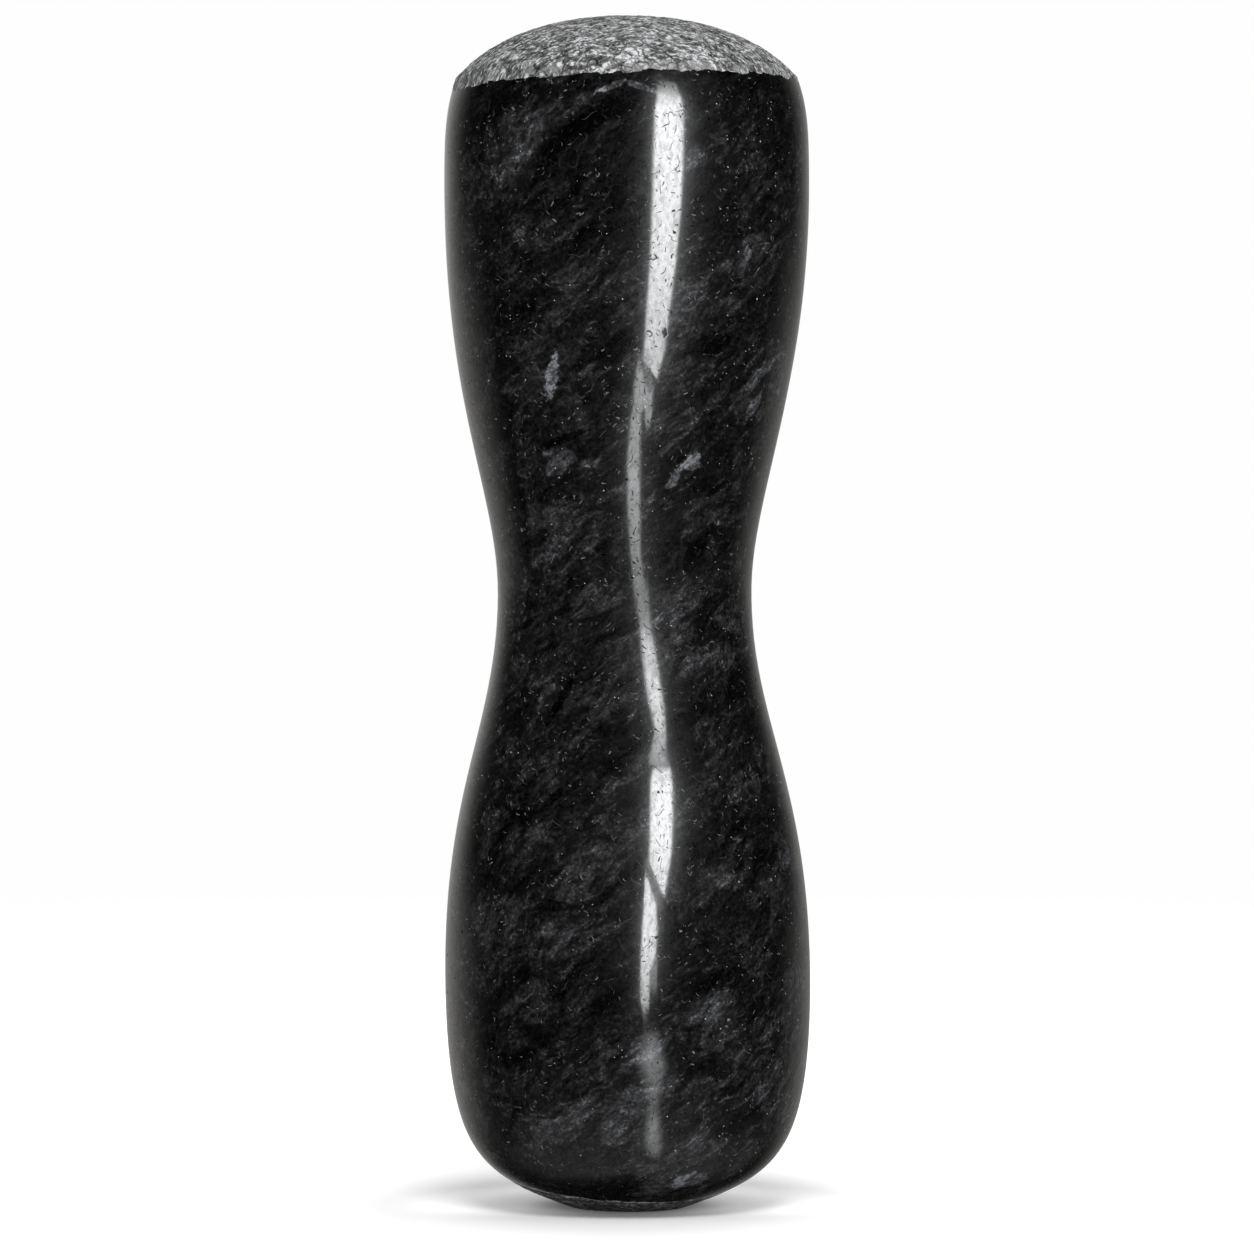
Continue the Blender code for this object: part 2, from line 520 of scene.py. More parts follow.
@dataclass(frozen=True)
class PolishedMarble:
    """Polished black stone with grey clouds, dark lenses, pale patches, fibres and specks.

    Tones are powers of e over the middle tone, because the stone's greys spread that way. A
    share says how far one pattern lifts or lowers that power.
    """

    slot: Slot = Slot.GRIP
    middle_tone: float = 0.0037
    brightest: float = 0.16
    tint: Colour = (0.95, 0.985, 1.09)
    fibre: Colour = (0.135, 0.138, 0.142)
    speck: Colour = (0.55, 0.55, 0.56)
    pit: Colour = (0.002, 0.002, 0.002)
    bedding: Triple = (0.0, math.radians(-38), math.radians(14))
    cloud_stretch: Triple = (2.3, 1.4, 1.0)
    brush_start: Triple = (40.0, 0.0, 9.0)
    brush_stretch: Triple = (3.4, 1.8, 1.0)
    wear_stretch: Triple = (1.0, 1.0, 2.4)
    drift_share: float = 2.4
    cloud_share: float = 1.15
    brush_share: float = 6.4
    grain_share: float = 6.4
    lens_share: float = -1.2
    patch_share: float = 0.8
    upper_share: float = -0.34
    upper_from: float = 94.0
    upper_to: float = 140.0
    short_fibres: Arcs = Arcs(spacing=0.85, reach=0.34, bow=1.2, half_width=0.055, rarity=0.38)
    hairs: Arcs = Arcs(spacing=2.6, reach=1.1, bow=2.4, half_width=0.055, rarity=0.50,
                       shift=(11.0, 3.0, 27.0))
    short_nicks: Arcs = Arcs(spacing=0.80, reach=0.36, bow=2.0, half_width=0.070, rarity=0.10,
                             shift=(31.0, 7.0, 12.0))
    long_nicks: Arcs = Arcs(spacing=1.90, reach=0.90, bow=2.4, half_width=0.060, rarity=0.20,
                            shift=(5.0, 19.0, 8.0))
    refraction: float = 1.55
    shine: float = 0.62
    coat: float = 0.45
    coat_roughness: float = 0.37
    coat_refraction: float = 1.5
    skin_strength: float = 0.20
    skin_depth: float = 0.05 * MILLIMETRE

    def material(self) -> Material:
        """Make the finish.

        Returns:
            The material.
        """
        material, w, shader = started_material("polished_black_stone")
        place = w.scaled(w.place(), TO_MILLIMETRES)
        pits = self.pits(w, place)
        crowd = w.ramp(w.noise(place, 3.4, 3.0, 0.60), 0.47, 0.60, 0.06, 1.0)
        fibres = w.most(w.times(self.short_fibres.mask(w, place), crowd, 0.95),
                        w.times(self.hairs.mask(w, place), 0.24))
        nicks = w.most(self.short_nicks.mask(w, place), self.long_nicks.mask(w, place))
        polish = w.ramp(w.noise(place, 6.0, 3.0, 0.6), 0.3, 0.7, 0.06, 0.10)
        drawn = w.laid(w.warped(place, 1.0, 0.4), None, None, self.wear_stretch)
        worn = w.ramp(w.noise(drawn, 0.55, 4.0, 0.70), 0.42, 0.64)
        whole = w.rest(w.most(w.times(nicks, 0.95), w.times(pits, 0.8), w.times(worn, 0.32)))
        w.fill(shader, {
            "Base Color": self.colour(w, place, pits, fibres, nicks),
            "Roughness": w.most(w.add(polish, w.times(worn, 0.06)), w.times(pits, 0.7)),
            "Specular IOR Level": w.times(whole, self.shine),
            "Coat Weight": w.times(whole, self.coat),
            "Normal": self.skin(w, place, pits, nicks),
            "IOR": self.refraction,
            "Coat Roughness": self.coat_roughness,
            "Coat IOR": self.coat_refraction,
        })
        return material

    def colour(self, w: Wiring, place: Value, pits: Value, fibres: Value, nicks: Value) -> Socket:
        """Lay the stone's colours over each other.

        Args:
            w: The material's wiring.
            place: Place in the stone, in millimetres.
            pits: Where the small pits are.
            fibres: Where the pale fibres are.
            nicks: Where the short nicks in the polish are.

        Returns:
            The colour.
        """
        bed = w.laid(w.warped(place, 22.0, 4.0), None, self.bedding, self.cloud_stretch)
        brush_bed = w.laid(w.warped(place, 5.0, 1.2), self.brush_start, self.bedding, self.brush_stretch)
        drift = w.swing(bed, 12.0, 2.0, 0.5)
        cloud = w.ramp(w.noise(bed, 4.6, 7.0, 0.70, 0.5), 0.49, 0.56)
        brush = w.swing(brush_bed, 0.80, 4.0, 0.72, 0.4)
        grain = w.swing(place, 0.45, 4.0, 0.78)
        lens = w.ramp(w.noise(brush_bed, 3.6, 2.0, 0.5, 0.3), 0.54, 0.66)
        patch = w.ramp(w.noise(w.warped(bed, 1.6, 0.8), 3.4, 5.0, 0.62, 0.3), 0.60, 0.70)
        fray = w.times(w.swing(place, 1.5, 5.0, 0.70), 2.2)
        upper = w.ramp(w.parts(place)[2], self.upper_from, self.upper_to, 0.0, self.upper_share)
        tone = w.add(
            w.times(drift, self.drift_share), w.times(cloud, self.cloud_share),
            w.times(brush, self.brush_share), w.times(grain, self.grain_share),
            w.times(lens, self.lens_share), w.times(patch, self.patch_share), upper)
        for inclusion in INCLUSIONS:
            tone = w.add(tone, inclusion.mask(w, place, fray))
        value = w.times(w.math("EXPONENT", tone), self.middle_tone)
        bluish = w.blend(w.ramp(value, 0.006, 0.04), WHITE[:3], self.tint)
        shade = w.scaled(bluish, w.math("MINIMUM", value, self.brightest))
        shade = w.blend(w.most(fibres, w.times(nicks, 0.05)), shade, self.fibre)
        shade = w.blend(self.specks(w, place), shade, self.speck)
        return w.blend(w.times(pits, 0.8), shade, self.pit)

    @staticmethod
    def specks(w: Wiring, place: Value) -> Socket:
        """Give the small bright specks."""
        cells = w.cells(w.warped(place, 0.5, 0.15), 0.50)
        pick = w.parts(cells.outputs["Color"])
        crowded = w.ramp(w.noise(place, 2.6, 3.0, 0.6), 0.46, 0.60, 0.15, 1.0)
        reach = w.times(w.ramp(pick[0], 0.38, 1.0), crowded, 0.20)
        inside = w.ramp(w.math("SUBTRACT", reach, cells.outputs["Distance"]), 0.0, 0.04)
        return w.times(inside, w.ramp(pick[1], 0.0, 1.2, 0.08, 0.95))

    @staticmethod
    def pits(w: Wiring, place: Value) -> Socket:
        """Give the small dark pits that the polish left."""
        cells = w.cells(w.warped(place, 0.8, 0.35), 2.2)
        reach = w.times(w.ramp(w.parts(cells.outputs["Color"])[0], 0.40, 1.0), 0.10)
        return w.math("LESS_THAN", cells.outputs["Distance"], reach)

    def skin(self, w: Wiring, place: Value, pits: Value, nicks: Value) -> Socket:
        """Give the fine waves, pits and nicks of the polished skin."""
        waves = w.times(w.noise(place, 0.8, 4.0, 0.62), 0.40)
        height = w.math("SUBTRACT", waves, w.most(w.times(pits, 0.9), w.times(nicks, 0.45)))
        return w.node("ShaderNodeBump", self.skin_strength, self.skin_depth, None, height)


@dataclass(frozen=True)
class PeckedStone:
    """Bare stone pecked rough: pale bruised plates between dark cracks and short wormy strokes."""

    name: str
    slot: Slot
    middle_tone: float
    line_tone: float
    plates: float
    plate_tone: float = 0.08
    streaks: Triple = (2.3, 1.1, 2.8)
    tint: Colour = (0.99, 1.0, 1.015)
    roughness: float = 0.88
    brightest: float = 0.44
    refraction: float = 1.5
    skin_strength: float = 0.85
    skin_depth: float = 0.13 * MILLIMETRE

    def material(self) -> Material:
        """Make the finish.

        Returns:
            The material.
        """
        material, w, shader = started_material(self.name)
        place = w.scaled(w.place(), TO_MILLIMETRES)
        height = w.attribute("relief")
        away = w.attribute("from_line")
        along = w.laid(place, None, None, self.streaks)
        bent = w.warped(along, 0.7, 0.22)
        worm = w.swing(bent, 0.28, 2.0, 0.60, 0.6)
        stroke = w.swing(w.warped(along, 1.6, 0.5), 0.62, 3.0, 0.62, 0.6)
        stain = w.swing(place, 5.0, 4.0, 0.6, 0.5)
        crack = w.times(self.cracks(w, place, 1.75), w.ramp(stain, -0.08, 0.06))
        line = w.ramp(w.math("ABSOLUTE", worm), 0.035, 0.008)
        rim = w.times(w.ramp(away, 0.42, 0.20), w.ramp(stroke, -0.10, 0.02), self.line_tone)
        # The relief height lifts the tone on crests and lowers it in hollows: paler bruised crests, and
        # painted shade in the hollows.
        pecks = w.add(w.times(worm, 7.4), w.times(stroke, 5.0), w.times(stain, 1.8), w.times(line, -0.35),
                      w.times(w.add(height, -0.5), 1.6))
        plates = w.add(w.times(worm, 3.4), w.times(stroke, 2.6), self.plate_tone)
        plated = w.times(w.ramp(away, 1.9, 0.9), w.ramp(w.noise(bent, 2.2, 3.0, 0.6), 0.46, 0.54),
                         self.plates)
        mixed = w.node("ShaderNodeMapRange", plated, 0.0, 1.0, pecks, plates)
        tone = w.add(mixed, w.times(crack, -1.2), rim)
        value = w.times(w.math("EXPONENT", tone), self.middle_tone)
        depth = w.add(w.times(worm, 0.9), w.times(stroke, 1.6), w.times(crack, -0.5))
        w.fill(shader, {
            "Base Color": w.scaled(self.tint, w.math("MINIMUM", value, self.brightest)),
            "Roughness": self.roughness,
            "IOR": self.refraction,
            "Normal": w.node("ShaderNodeBump", self.skin_strength, self.skin_depth, None, depth),
        })
        return material

    @staticmethod
    def cracks(w: Wiring, place: Value, size: float) -> Socket:
        """Give the dark cracks between plates."""
        cells = w.cells(w.warped(w.warped(place, 2.4, 0.9), 0.7, 0.30), size, "DISTANCE_TO_EDGE")
        return w.ramp(cells.outputs["Distance"], 0.060, 0.020)


@dataclass
class TurnedZone:
    """One zone of the stone between two finish lines, as a closed piece."""

    node: Node
    finish: PolishedMarble | PeckedStone
    start: FinishLine
    end: FinishLine
    rows: int
    relief: Relief = field(default_factory=Relief)
    gathering: float = 0.0
    steps: int = 640
    wobble_depth: float = 0.00009
    bend: float = 0.00026
    sharp_angle: float = math.radians(48)
    merge_distance: float = 1e-7

    def build(self, outline: Object) -> Object:
        """Make the zone's mesh and dress it.

        Args:
            outline: The stone's outline.

        Returns:
            The finished piece.
        """
        values = self.values()
        tree = self.tree(values)
        maker = placed(f"{self.node.value}_maker", outline.data.copy())
        modifier = maker.modifiers.new("turned_zone", "NODES")
        modifier.node_group = tree
        for item in tree.interface.items_tree:
            if item.name in values:
                modifier[item.identifier] = values[item.name]
        graph = bpy.context.evaluated_depsgraph_get()
        mesh = bpy.data.meshes.new_from_object(maker.evaluated_get(graph), depsgraph=graph)
        maker.modifiers.remove(modifier)
        bpy.data.objects.remove(maker)
        self.drop_loose_edges(mesh)
        mesh.shade_smooth()
        mesh.set_sharp_from_angle(angle=self.sharp_angle)
        piece = placed(f"{self.node.value}_surface", mesh)
        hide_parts(self.node.value)
        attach(piece, "root")
        LOG.info("%s: %d faces", piece.name, len(mesh.polygons))
        return piece

    @staticmethod
    def drop_loose_edges(mesh: Mesh) -> None:
        """Take out the edges that merging at the poles leaves without a face."""
        shape = bmesh.new()
        shape.from_mesh(mesh)
        loose = [edge for edge in shape.edges if not edge.link_faces]
        bmesh.ops.delete(shape, geom=loose, context="EDGES")
        shape.to_mesh(mesh)
        shape.free()

    def values(self) -> Inputs:
        """Give the tree's inputs.

        Returns:
            The values by the names of their sockets.
        """
        values = {
            "Steps": self.steps, "Rows": self.rows, "Gathering": self.gathering,
            "Wobble Depth": self.wobble_depth, "Bend": self.bend, "Hollow Depth": self.relief.hollows,
            "Stroke Depth": self.relief.strokes, "Chip Depth": self.relief.chips,
            "Fade": self.relief.fade, "Material": self.finish.material(),
        }
        for side, line in (("Start", self.start), ("End", self.end)):
            values |= {f"{side} Length": line.length, f"{side} Tilt": line.tilt,
                       f"{side} Towards": line.tilt_towards, f"{side} Raggedness": line.raggedness}
        return values

    def tree(self, values: Inputs) -> NodeTree:
        """Build the tree that turns the outline into the zone.

        Args:
            values: The tree's inputs, whose kinds its sockets take.

        Returns:
            The node tree.
        """
        tree = bpy.data.node_groups.new("turned_zone", "GeometryNodeTree")
        face = tree.interface
        face.new_socket("Geometry", in_out="INPUT", socket_type="NodeSocketGeometry")
        for name, value in values.items():
            face.new_socket(name, in_out="INPUT", socket_type=SOCKET_KINDS[type(value)])
        face.new_socket("Geometry", in_out="OUTPUT", socket_type="NodeSocketGeometry")
        given = tree.nodes.new("NodeGroupInput").outputs
        w = Wiring(tree)

        columns = w.math("ADD", given["Steps"], 1.0)
        grid = w.node("GeometryNodeMeshGrid", 1.0, 1.0, columns, given["Rows"])
        across, down, _ = w.parts(w.node("GeometryNodeInputPosition"))
        angle = w.times(w.add(across, 0.5), -math.tau)
        round_x, round_y = w.math("COSINE", angle), w.math("SINE", angle)
        row = w.math("ROUND", w.times(w.add(down, 0.5), w.add(given["Rows"], -1.0)))
        last = w.add(given["Rows"], -3.0)
        share = w.node("ShaderNodeClamp", w.math("DIVIDE", w.add(row, -1.0), last), 0.0, 1.0)
        gathered = w.times(w.math("SINE", w.times(share, math.tau)), given["Gathering"], 1.0 / math.tau)
        eased = w.math("SUBTRACT", share, gathered)
        on_surface = w.times(w.math("GREATER_THAN", row, 0.5),
                             w.math("LESS_THAN", row, w.add(given["Rows"], -1.5)))

        start = self.line_length(w, given, "Start", angle, round_x, round_y)
        end = self.line_length(w, given, "End", angle, round_x, round_y)
        length = w.node("ShaderNodeMapRange", eased, 0.0, 1.0, start, end, clamp=False)
        nominal = w.node("ShaderNodeMapRange", share, 0.0, 1.0, given["Start Length"], given["End Length"])
        sample = self.sample(w, given["Geometry"], length)
        radius, _, height = w.parts(sample.outputs["Position"])
        run_out, _, run_up = w.parts(sample.outputs["Tangent"])
        middle = w.parts(self.sample(w, given["Geometry"], nominal).outputs["Position"])[2]
        skin = w.vector(w.times(radius, round_x), w.times(radius, round_y), height)
        leaving = w.times(run_up, -1.0)
        normal = w.vector(w.times(leaving, round_x), w.times(leaving, round_y), run_out)

        near = w.math("MINIMUM", w.math("ABSOLUTE", w.math("SUBTRACT", length, start)),
                      w.math("ABSOLUTE", w.math("SUBTRACT", end, length)))
        lift, tone = self.relief_field(w, given, skin)
        push = w.add(self.wobble(w, given, skin), w.times(lift, w.ramp(near, 0.0, given["Fade"])))
        sway = w.math("COSINE", w.times(w.add(height, -0.010), math.tau / 0.164))
        bent = w.vector(w.times(given["Bend"], sway, w.ramp(height, 0.112, 0.142, 1.0, 0.3)), 0.0, 0.0)
        place = w.vector_math("ADD", w.vector_math("ADD", skin, w.scaled(normal, push)), bent)
        place_x, place_y, place_z = w.parts(place)
        place = w.vector(place_x, place_y, w.most(place_z, 0.0))
        capped = w.vector_math("ADD", w.scaled(place, on_surface),
                               w.scaled(w.vector(0.0, 0.0, middle), w.rest(on_surface)))

        shape = self.stored(w, grid, "relief", tone)
        shape = self.stored(w, shape, "from_line", w.times(near, TO_MILLIMETRES))
        moved = w.made("GeometryNodeSetPosition", {"Geometry": shape, "Position": capped})
        merged = w.made("GeometryNodeMergeByDistance", {
            "Geometry": moved.outputs[0], "Distance": self.merge_distance})
        whole = w.node("GeometryNodeRealizeInstances", merged.outputs[0])
        dressed = w.made("GeometryNodeSetMaterial", {"Geometry": whole, "Material": given["Material"]})
        w.feed(tree.nodes.new("NodeGroupOutput").inputs[0], dressed.outputs[0])
        return tree

    @staticmethod
    def sample(w: Wiring, curve: Value, length: Value) -> bpy.types.Node:
        """Read the outline at a length along it, as a node with the place and direction there."""
        return w.made("GeometryNodeSampleCurve", {"Curves": curve, "Length": length}, mode="LENGTH",
                      use_all_curves=True)

    @staticmethod
    def stored(w: Wiring, geometry: Value, name: str, value: Value) -> Socket:
        """Keep a number on every point of the mesh, under a name."""
        made = w.made("GeometryNodeStoreNamedAttribute", {
            "Geometry": geometry, "Name": name, "Value": value}, data_type="FLOAT", domain="POINT")
        return made.outputs[0]

    @staticmethod
    def line_length(w: Wiring, given: NodeOutputs, side: str, angle: Value, x: Value,
                    y: Value) -> Socket:
        """Give how far along the outline a finish line lies at each angle.

        Args:
            w: The tree's wiring.
            given: The tree's inputs.
            side: Start or End.
            angle: The angle round the stone.
            x: Its cosine.
            y: Its sine.

        Returns:
            The length at that angle.
        """
        length = given[f"{side} Length"]
        turned = w.math("COSINE", w.math("SUBTRACT", angle, given[f"{side} Towards"]))
        lean = w.times(given[f"{side} Tilt"], turned)
        ring = w.vector(w.times(x, 24.0), w.times(y, 24.0), w.times(length, TO_MILLIMETRES))
        sway = w.swing(ring, 7.0, 3.0, 0.6)
        bite = w.add(w.parts(w.cells(w.warped(ring, 1.0, 0.5), 1.5).outputs["Color"])[0], -0.5)
        nick = w.swing(ring, 0.7, 2.0, 0.6)
        uneven = w.add(w.times(sway, 1.6), w.times(bite, 0.55), w.times(nick, 0.7))
        return w.add(length, lean, w.times(uneven, given[f"{side} Raggedness"]))

    @staticmethod
    def wobble(w: Wiring, given: NodeOutputs, skin: Value) -> Socket:
        """Give the slow unevenness that hand grinding left on the whole stone."""
        place = w.scaled(skin, TO_MILLIMETRES)
        slow = w.swing(place, 24.0, 1.0, 0.45)
        return w.times(slow, given["Wobble Depth"], 2.0)

    @staticmethod
    def relief_field(w: Wiring, given: NodeOutputs, skin: Value) -> tuple[Value, Value]:
        """Give how far the surface is raised or dug at each point, and how high it stands there.

        Args:
            w: The tree's wiring.
            given: The tree's inputs.
            skin: Place on the smooth stone.

        Returns:
            The lift in metres, and a height of about 0 in the deepest places to 1 on the crests.
        """
        place = w.scaled(skin, TO_MILLIMETRES)
        hollows = w.swing(place, 3.4, 2.0, 0.5)
        strokes = w.swing(w.warped(place, 1.6, 0.6), 1.1, 2.0, 0.6)
        chips = w.add(w.parts(w.cells(w.warped(place, 1.1, 0.45), 1.6).outputs["Color"])[1], -0.5)
        lift = w.add(w.times(hollows, given["Hollow Depth"]), w.times(strokes, given["Stroke Depth"]),
                     w.times(chips, given["Chip Depth"]))
        height = w.add(w.times(hollows, 0.8), w.times(strokes, 1.4), w.times(chips, 0.5), 0.5)
        return lift, height


@dataclass
class Pestle:
    """The whole stone: its outline, its two finish lines and the zones between them."""

    upper: FinishLine = FinishLine(tilt=0.0009, tilt_towards=math.radians(185), raggedness=0.0008)
    lower: FinishLine = FinishLine(tilt=0.0040, tilt_towards=math.radians(296), raggedness=0.0006)
    lower_rise: float = 0.0005

    def build(self) -> list[Object]:
        """Build the three zones.

        Returns:
            The finished pieces.
        """
        crown_low, crown_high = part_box(Node.CROWN.value)
        grip_low, grip_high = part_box(Node.GRIP.value)
        outline = Outline(crown_height=crown_high[2], belly_radius=grip_high[0])
        top = FinishLine()
        upper = replace(self.upper, length=outline.length_to(crown_low[2]))
        lower = replace(self.lower, length=outline.length_to(grip_low[2] + self.lower_rise))
        bottom = FinishLine(outline.whole_length())
        pecked_crown = PeckedStone("pecked_crown_stone", Slot.CROWN, middle_tone=0.138, line_tone=0.0,
                                   plates=1.0)
        # The foot's pecked stone has about half the crown's middle tone: painted shade, as the foot faces
        # down into shadow near the floor.
        shaded_pecked_foot = PeckedStone("pecked_foot_stone", Slot.FOOT, middle_tone=0.075, line_tone=1.7,
                                  plates=0.0)
        zones = [
            TurnedZone(Node.CROWN, pecked_crown, top, upper, rows=150,
                       relief=Relief(hollows=0.00012, strokes=0.00028, chips=0.00008)),
            TurnedZone(Node.GRIP, PolishedMarble(), upper, lower, rows=150, gathering=0.75),
            TurnedZone(Node.FOOT, shaded_pecked_foot, lower, bottom, rows=100,
                       relief=Relief(hollows=0.00006, strokes=0.00014, chips=0.00004)),
        ]
        holder = outline.object()
        pieces = [zone.build(holder) for zone in zones]
        bpy.data.objects.remove(holder)
        return pieces


@dataclass(frozen=True)
class Pane:
    """One pane of the window that the polish reflects: a soft-edged strip that only gloss sees.

    Its stations run upwards. Each gives the pane's left edge and right edge as across and up, in
    millimetres, and how strongly it glows there.
    """

    name: str
    stations: tuple[tuple[float, ...], ...]
    side_softness: float = 0.14
    distance: float = 33.0
    full_glow: float = 2.0
    tint: tuple[float, ...] = (0.975, 0.99, 1.0, 1.0)

    def build(self) -> Object:
        """Make the pane.

        Returns:
            The pane's object.
        """
        points = []
        for left, left_up, right, right_up, _ in self.stations:
            for across, up in ((left, left_up), (right, right_up)):
                points.append((across * MILLIMETRE, -self.distance * MILLIMETRE, up * MILLIMETRE))
        spans = len(self.stations) - 1
        faces = [(2 * i, 2 * i + 1, 2 * i + 3, 2 * i + 2) for i in range(spans)]
        mesh = bpy.data.meshes.new(self.name)
        mesh.from_pydata(points, [], faces)
        sides = mesh.attributes.new("across", "FLOAT", "POINT")
        glows = mesh.attributes.new("glow", "FLOAT", "POINT")
        for index in range(len(points)):
            sides.data[index].value = index % 2
            glows.data[index].value = self.stations[index // 2][-1]
        mesh.materials.append(self.material())
        pane = placed(self.name, mesh)
        pane.visible_camera = False
        pane.visible_diffuse = False
        pane.visible_shadow = False
        return pane

    def material(self) -> Material:
        """Make the pane's glow, which turns clear at its sides and where it is weak.

        Returns:
            The material.
        """
        material, w, _ = started_material(self.name)
        w.tree.nodes.clear()
        across, glow = w.attribute("across"), w.attribute("glow")
        inward = w.math("MINIMUM", across, w.rest(across))
        fullness = w.times(w.ramp(inward, 0.0, self.side_softness), w.ramp(glow, 0.0, self.full_glow))
        emission = w.node("ShaderNodeEmission", self.tint, glow)
        clear = w.node("ShaderNodeBsdfTransparent")
        w.made("ShaderNodeOutputMaterial", {
            "Surface": w.node("ShaderNodeMixShader", fullness, clear, emission)})
        return material


WINDOW = (
    Pane("window_top", (
        (4.1, 111.9, 8.9, 107.9, 8.5), (4.1, 113.3, 10.7, 112.5, 9.5), (4.3, 119.6, 11.4, 119.3, 10.5),
        (4.9, 127.2, 12.8, 127.1, 12.6), (5.2, 134.7, 13.8, 134.8, 13.2), (5.5, 142.0, 14.6, 142.4, 14.8),
        (6.1, 150.2, 15.0, 151.0, 15.5), (6.7, 153.1, 14.8, 153.6, 12.0), (7.0, 155.3, 14.0, 155.6, 5.5),
        (7.2, 158.6, 13.4, 158.8, 0.0))),
    Pane("window_waist", (
        (2.5, 84.1, 9.8, 84.1, 3.6), (2.2, 84.7, 7.6, 84.6, 3.3), (1.2, 85.7, 6.4, 85.4, 4.2),
        (0.3, 88.8, 6.0, 88.6, 4.8), (-0.1, 93.7, 5.5, 93.5, 5.8), (0.4, 98.8, 5.1, 98.7, 5.2),
        (1.3, 103.7, 4.9, 102.8, 5.0), (1.6, 106.9, 7.2, 105.4, 5.0), (2.3, 109.4, 4.9, 109.2, 5.0),
        (3.1, 111.9, 3.5, 111.5, 4.5)), side_softness=0.28),
    Pane("window_prong", (
        (6.4, 99.0, 6.8, 99.0, 0.0), (5.7, 101.5, 8.0, 101.3, 4.5), (5.2, 103.8, 8.1, 103.6, 5.2),
        (4.6, 106.0, 7.9, 105.4, 5.2), (4.4, 107.6, 8.6, 107.0, 1.9), (3.3, 112.6, 4.6, 112.6, 1.6)),
        side_softness=0.2, distance=33.4),
    Pane("window_belly", (
        (6.2, 67.2, 14.6, 68.2, 5.5), (6.2, 68.6, 14.4, 69.7, 5.4), (8.1, 71.1, 14.6, 72.1, 6.5),
        (9.0, 72.4, 14.8, 73.3, 8.5), (8.3, 74.5, 15.1, 75.5, 11.5), (7.0, 76.5, 14.8, 77.6, 12.6),
        (6.1, 78.7, 13.6, 79.4, 12.0), (5.1, 80.3, 12.4, 80.7, 10.0), (4.9, 81.2, 11.3, 81.4, 7.5),
        (4.6, 81.9, 10.5, 82.0, 4.2), (3.6, 83.0, 10.4, 83.0, 3.3), (2.5, 84.1, 9.8, 84.1, 3.6)),
        side_softness=0.28),
    Pane("window_side", (
        (5.3, 51.0, 9.4, 44.2, 12.0), (5.4, 53.2, 10.5, 48.0, 13.5), (5.6, 55.8, 12.4, 52.8, 14.5),
        (6.2, 61.1, 14.0, 60.2, 15.0), (6.6, 64.2, 14.9, 64.9, 14.5), (7.5, 66.3, 14.9, 67.3, 12.5),
        (7.9, 66.8, 14.7, 67.9, 8.0))),
    Pane("window_low", (
        (3.5, 24.5, 4.4, 24.5, 0.0), (3.3, 27.2, 4.6, 27.2, 3.0), (2.8, 29.0, 5.0, 29.0, 7.0),
        (2.8, 33.4, 5.3, 33.4, 10.0), (2.9, 36.2, 6.9, 36.5, 12.0), (3.2, 39.5, 7.3, 39.6, 13.0),
        (3.8, 43.5, 7.2, 43.8, 13.0), (4.2, 46.6, 5.8, 46.3, 12.5), (4.5, 48.9, 4.8, 48.7, 10.0))),
    Pane("window_corner", (
        (6.0, 41.0, 8.8, 41.0, 0.0), (4.6, 44.5, 9.2, 43.8, 1.6), (4.3, 51.5, 6.4, 51.0, 1.6)),
        distance=33.4),
    Pane("window_low_side", (
        (5.8, 28.5, 6.7, 28.5, 0.0), (5.2, 31.9, 7.0, 31.9, 2.5), (5.0, 35.7, 7.1, 35.7, 3.5)),
        distance=33.4),
    Pane("window_on_table", (
        (8.3, -29.2, 17.3, -36.7, 0.0), (4.1, -5.1, 12.7, -7.6, 2.6), (3.8, 5.0, 10.2, 4.2, 3.2),
        (3.8, 10.8, 9.0, 10.3, 1.6), (2.8, 15.1, 9.4, 14.8, 1.8), (1.2, 19.7, 10.4, 19.4, 3.2),
        (2.2, 23.0, 8.8, 22.8, 1.8), (3.5, 27.3, 6.8, 27.2, 0.0)), side_softness=0.5),
    Pane("window_behind", (
        (4.0, 18.0, 13.0, 16.0, 0.0), (3.0, 26.0, 14.0, 24.0, 9.0), (3.0, 136.0, 14.0, 138.0, 12.0),
        (5.0, 152.0, 12.0, 154.0, 0.0)), distance=-33.0),
)


